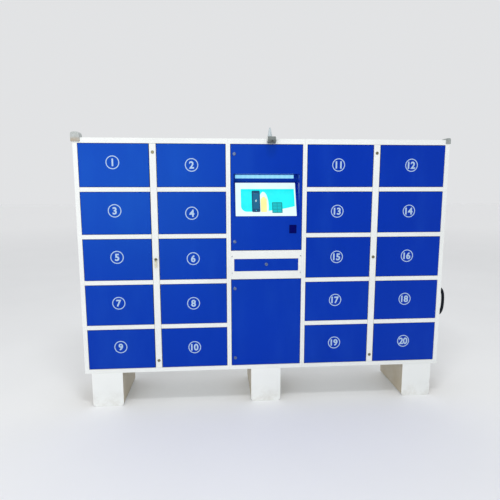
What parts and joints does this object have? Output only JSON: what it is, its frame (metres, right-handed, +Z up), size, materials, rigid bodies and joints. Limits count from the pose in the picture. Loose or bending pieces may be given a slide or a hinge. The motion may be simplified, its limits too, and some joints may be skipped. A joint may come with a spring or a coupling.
{
  "type": "phone charging kiosk",
  "caption": "Freestanding phone charging kiosk: banks of hinged locker doors either side of a control column with a sloping touch display, a service drawer and a lower service door.",
  "frame": {"origin": "on the floor, at the middle of the cabinet's width and depth, under the centre foot", "axes": "+X to the right of someone facing the kiosk, -Y towards that person, +Z up"},
  "size_m": [2.5067, 0.479, 1.851],
  "materials": {
    "white_paint": "white powder coat, satin, fine orange peel",
    "foot_paint": "light grey powder coat, satin",
    "blue_paint": "royal blue powder coat, semi-gloss",
    "zinc": "bright zinc plate",
    "chrome": "polished, slightly worn",
    "black_plastic": "fine moulded texture",
    "dark_plastic": "dark grey moulded plastic",
    "guard_plastic": "light grey soft plastic",
    "screen_glass": "lit touch display behind clear glass",
    "diffuser": "lit opal acrylic",
    "scanner_glass": "dark tinted window in a navy frame"
  },
  "bodies": {
    "kiosk": {"left_cabinet": "white_paint", "centre_cabinet": "white_paint", "right_cabinet": "white_paint", "shelf_stack_1": "white_paint", "shelf_stack_2": "white_paint", "shelf_stack_3": "white_paint", "shelf_stack_4": "white_paint", "lock_rail_left": "zinc", "charging_rail_left": "black_plastic", "lock_rail_right": "zinc", "charging_rail_right": "black_plastic", "slot_plate": "white_paint", "control_box": "black_plastic", "foot_left": "foot_paint", "foot_centre": "foot_paint", "foot_right": "foot_paint", "camera_bracket": "white_paint", "side_handle": "black_plastic", "top_corner_guard_left": "guard_plastic", "top_corner_guard_right": "dark_plastic"},
    "locker_door_01": {"locker_door_01": "blue_paint"},
    "locker_door_03": {"locker_door_03": "blue_paint"},
    "locker_door_05": {"locker_door_05": "blue_paint"},
    "locker_door_07": {"locker_door_07": "blue_paint"},
    "locker_door_09": {"locker_door_09": "blue_paint"},
    "locker_door_02": {"locker_door_02": "blue_paint"},
    "locker_door_04": {"locker_door_04": "blue_paint"},
    "locker_door_06": {"locker_door_06": "blue_paint"},
    "locker_door_08": {"locker_door_08": "blue_paint"},
    "locker_door_10": {"locker_door_10": "blue_paint"},
    "locker_door_11": {"locker_door_11": "blue_paint"},
    "locker_door_13": {"locker_door_13": "blue_paint"},
    "locker_door_15": {"locker_door_15": "blue_paint"},
    "locker_door_17": {"locker_door_17": "blue_paint"},
    "locker_door_19": {"locker_door_19": "blue_paint"},
    "locker_door_12": {"locker_door_12": "blue_paint"},
    "locker_door_14": {"locker_door_14": "blue_paint"},
    "locker_door_16": {"locker_door_16": "blue_paint"},
    "locker_door_18": {"locker_door_18": "blue_paint"},
    "locker_door_20": {"locker_door_20": "blue_paint"},
    "lock_channel_cover_left": {"lock_channel_cover_left": "white_paint"},
    "channel_lock_left_1": {"channel_lock_left_1": "chrome"},
    "channel_lock_left_2": {"channel_lock_left_2": "chrome"},
    "channel_lock_left_3": {"channel_lock_left_3": "chrome"},
    "lock_channel_cover_right": {"lock_channel_cover_right": "white_paint"},
    "channel_lock_right_1": {"channel_lock_right_1": "chrome"},
    "channel_lock_right_2": {"channel_lock_right_2": "chrome"},
    "channel_lock_right_3": {"channel_lock_right_3": "chrome"},
    "control_door": {"control_door": "blue_paint", "touch_display": "screen_glass", "light_diffuser": "diffuser", "code_scanner": "scanner_glass"},
    "service_door": {"service_door": "blue_paint"},
    "service_drawer": {"service_drawer": "blue_paint"},
    "control_lock_1": {"control_lock_1": "chrome"},
    "control_lock_2": {"control_lock_2": "chrome"},
    "service_lock_1": {"service_lock_1": "chrome"},
    "service_lock_2": {"service_lock_2": "chrome"},
    "drawer_lock": {"drawer_lock": "chrome"},
    "camera_head": {"camera_head": "dark_plastic"}
  },
  "joints": [
    {"name": "locker_door_01_hinge", "type": "hinge", "parent": "kiosk", "child": "locker_door_01", "pos_m": [-1.175, -0.205, 1.608], "axis": [0, 0, -1], "range_deg": [0, 110]},
    {"name": "locker_door_03_hinge", "type": "hinge", "parent": "kiosk", "child": "locker_door_03", "pos_m": [-1.175, -0.205, 1.306], "axis": [0, 0, -1], "range_deg": [0, 110]},
    {"name": "locker_door_05_hinge", "type": "hinge", "parent": "kiosk", "child": "locker_door_05", "pos_m": [-1.175, -0.205, 1.004], "axis": [0, 0, -1], "range_deg": [0, 110]},
    {"name": "locker_door_07_hinge", "type": "hinge", "parent": "kiosk", "child": "locker_door_07", "pos_m": [-1.175, -0.205, 0.702], "axis": [0, 0, -1], "range_deg": [0, 110]},
    {"name": "locker_door_09_hinge", "type": "hinge", "parent": "kiosk", "child": "locker_door_09", "pos_m": [-1.175, -0.205, 0.4], "axis": [0, 0, -1], "range_deg": [0, 110]},
    {"name": "locker_door_02_hinge", "type": "hinge", "parent": "kiosk", "child": "locker_door_02", "pos_m": [-0.277, -0.205, 1.608], "axis": [0, 0, 1], "range_deg": [0, 90]},
    {"name": "locker_door_04_hinge", "type": "hinge", "parent": "kiosk", "child": "locker_door_04", "pos_m": [-0.277, -0.205, 1.306], "axis": [0, 0, 1], "range_deg": [0, 90]},
    {"name": "locker_door_06_hinge", "type": "hinge", "parent": "kiosk", "child": "locker_door_06", "pos_m": [-0.277, -0.205, 1.004], "axis": [0, 0, 1], "range_deg": [0, 90]},
    {"name": "locker_door_08_hinge", "type": "hinge", "parent": "kiosk", "child": "locker_door_08", "pos_m": [-0.277, -0.205, 0.702], "axis": [0, 0, 1], "range_deg": [0, 90]},
    {"name": "locker_door_10_hinge", "type": "hinge", "parent": "kiosk", "child": "locker_door_10", "pos_m": [-0.277, -0.205, 0.4], "axis": [0, 0, 1], "range_deg": [0, 90]},
    {"name": "locker_door_11_hinge", "type": "hinge", "parent": "kiosk", "child": "locker_door_11", "pos_m": [0.277, -0.205, 1.608], "axis": [0, 0, -1], "range_deg": [0, 90]},
    {"name": "locker_door_13_hinge", "type": "hinge", "parent": "kiosk", "child": "locker_door_13", "pos_m": [0.277, -0.205, 1.306], "axis": [0, 0, -1], "range_deg": [0, 90]},
    {"name": "locker_door_15_hinge", "type": "hinge", "parent": "kiosk", "child": "locker_door_15", "pos_m": [0.277, -0.205, 1.004], "axis": [0, 0, -1], "range_deg": [0, 90]},
    {"name": "locker_door_17_hinge", "type": "hinge", "parent": "kiosk", "child": "locker_door_17", "pos_m": [0.277, -0.205, 0.702], "axis": [0, 0, -1], "range_deg": [0, 90]},
    {"name": "locker_door_19_hinge", "type": "hinge", "parent": "kiosk", "child": "locker_door_19", "pos_m": [0.277, -0.205, 0.4], "axis": [0, 0, -1], "range_deg": [0, 90]},
    {"name": "locker_door_12_hinge", "type": "hinge", "parent": "kiosk", "child": "locker_door_12", "pos_m": [1.175, -0.205, 1.608], "axis": [0, 0, 1], "range_deg": [0, 110]},
    {"name": "locker_door_14_hinge", "type": "hinge", "parent": "kiosk", "child": "locker_door_14", "pos_m": [1.175, -0.205, 1.306], "axis": [0, 0, 1], "range_deg": [0, 110]},
    {"name": "locker_door_16_hinge", "type": "hinge", "parent": "kiosk", "child": "locker_door_16", "pos_m": [1.175, -0.205, 1.004], "axis": [0, 0, 1], "range_deg": [0, 110]},
    {"name": "locker_door_18_hinge", "type": "hinge", "parent": "kiosk", "child": "locker_door_18", "pos_m": [1.175, -0.205, 0.702], "axis": [0, 0, 1], "range_deg": [0, 110]},
    {"name": "locker_door_20_hinge", "type": "hinge", "parent": "kiosk", "child": "locker_door_20", "pos_m": [1.175, -0.205, 0.4], "axis": [0, 0, 1], "range_deg": [0, 110]},
    {"name": "lock_channel_cover_left_hinge", "type": "hinge", "parent": "kiosk", "child": "lock_channel_cover_left", "pos_m": [-0.7385, -0.2055, 1.004], "axis": [0, 0, -1], "range_deg": [0, 90]},
    {"name": "channel_lock_left_1_turn", "type": "hinge", "parent": "lock_channel_cover_left", "child": "channel_lock_left_1", "pos_m": [-0.726, -0.21, 1.691], "axis": [0, 1, 0], "range_deg": [0, 90]},
    {"name": "channel_lock_left_2_turn", "type": "hinge", "parent": "lock_channel_cover_left", "child": "channel_lock_left_2", "pos_m": [-0.726, -0.21, 1.004], "axis": [0, 1, 0], "range_deg": [0, 90]},
    {"name": "channel_lock_left_3_turn", "type": "hinge", "parent": "lock_channel_cover_left", "child": "channel_lock_left_3", "pos_m": [-0.726, -0.21, 0.314], "axis": [0, 1, 0], "range_deg": [0, 90]},
    {"name": "lock_channel_cover_right_hinge", "type": "hinge", "parent": "kiosk", "child": "lock_channel_cover_right", "pos_m": [0.7135, -0.2055, 1.004], "axis": [0, 0, -1], "range_deg": [0, 90]},
    {"name": "channel_lock_right_1_turn", "type": "hinge", "parent": "lock_channel_cover_right", "child": "channel_lock_right_1", "pos_m": [0.726, -0.21, 1.691], "axis": [0, 1, 0], "range_deg": [0, 90]},
    {"name": "channel_lock_right_2_turn", "type": "hinge", "parent": "lock_channel_cover_right", "child": "channel_lock_right_2", "pos_m": [0.726, -0.21, 1.004], "axis": [0, 1, 0], "range_deg": [0, 90]},
    {"name": "channel_lock_right_3_turn", "type": "hinge", "parent": "lock_channel_cover_right", "child": "channel_lock_right_3", "pos_m": [0.726, -0.21, 0.314], "axis": [0, 1, 0], "range_deg": [0, 90]},
    {"name": "control_door_hinge", "type": "hinge", "parent": "kiosk", "child": "control_door", "pos_m": [0.223, -0.205, 1.4005], "axis": [0, 0, 1], "range_deg": [0, 90]},
    {"name": "service_door_hinge", "type": "hinge", "parent": "kiosk", "child": "service_door", "pos_m": [0.223, -0.205, 0.5635], "axis": [0, 0, 1], "range_deg": [0, 90]},
    {"name": "service_drawer_slide", "type": "slide", "parent": "kiosk", "child": "service_drawer", "axis": [0, -1, 0], "range_m": [0, 0.22]},
    {"name": "control_lock_1_turn", "type": "hinge", "parent": "control_door", "child": "control_lock_1", "pos_m": [-0.21, -0.21, 1.682], "axis": [0, 1, 0], "range_deg": [0, 90]},
    {"name": "control_lock_2_turn", "type": "hinge", "parent": "control_door", "child": "control_lock_2", "pos_m": [-0.21, -0.21, 1.116], "axis": [0, 1, 0], "range_deg": [0, 90]},
    {"name": "service_lock_1_turn", "type": "hinge", "parent": "service_door", "child": "service_lock_1", "pos_m": [-0.21, -0.21, 0.801], "axis": [0, 1, 0], "range_deg": [0, 90]},
    {"name": "service_lock_2_turn", "type": "hinge", "parent": "service_door", "child": "service_lock_2", "pos_m": [-0.21, -0.21, 0.317], "axis": [0, 1, 0], "range_deg": [0, 90]},
    {"name": "drawer_lock_turn", "type": "hinge", "parent": "service_drawer", "child": "drawer_lock", "pos_m": [0, -0.21, 0.963], "axis": [0, 1, 0], "range_deg": [0, 90]},
    {"name": "camera_tilt", "type": "hinge", "parent": "kiosk", "child": "camera_head", "pos_m": [0.027, -0.237, 1.7675], "axis": [1, 0, 0], "range_deg": [-25, 35]}
  ]
}
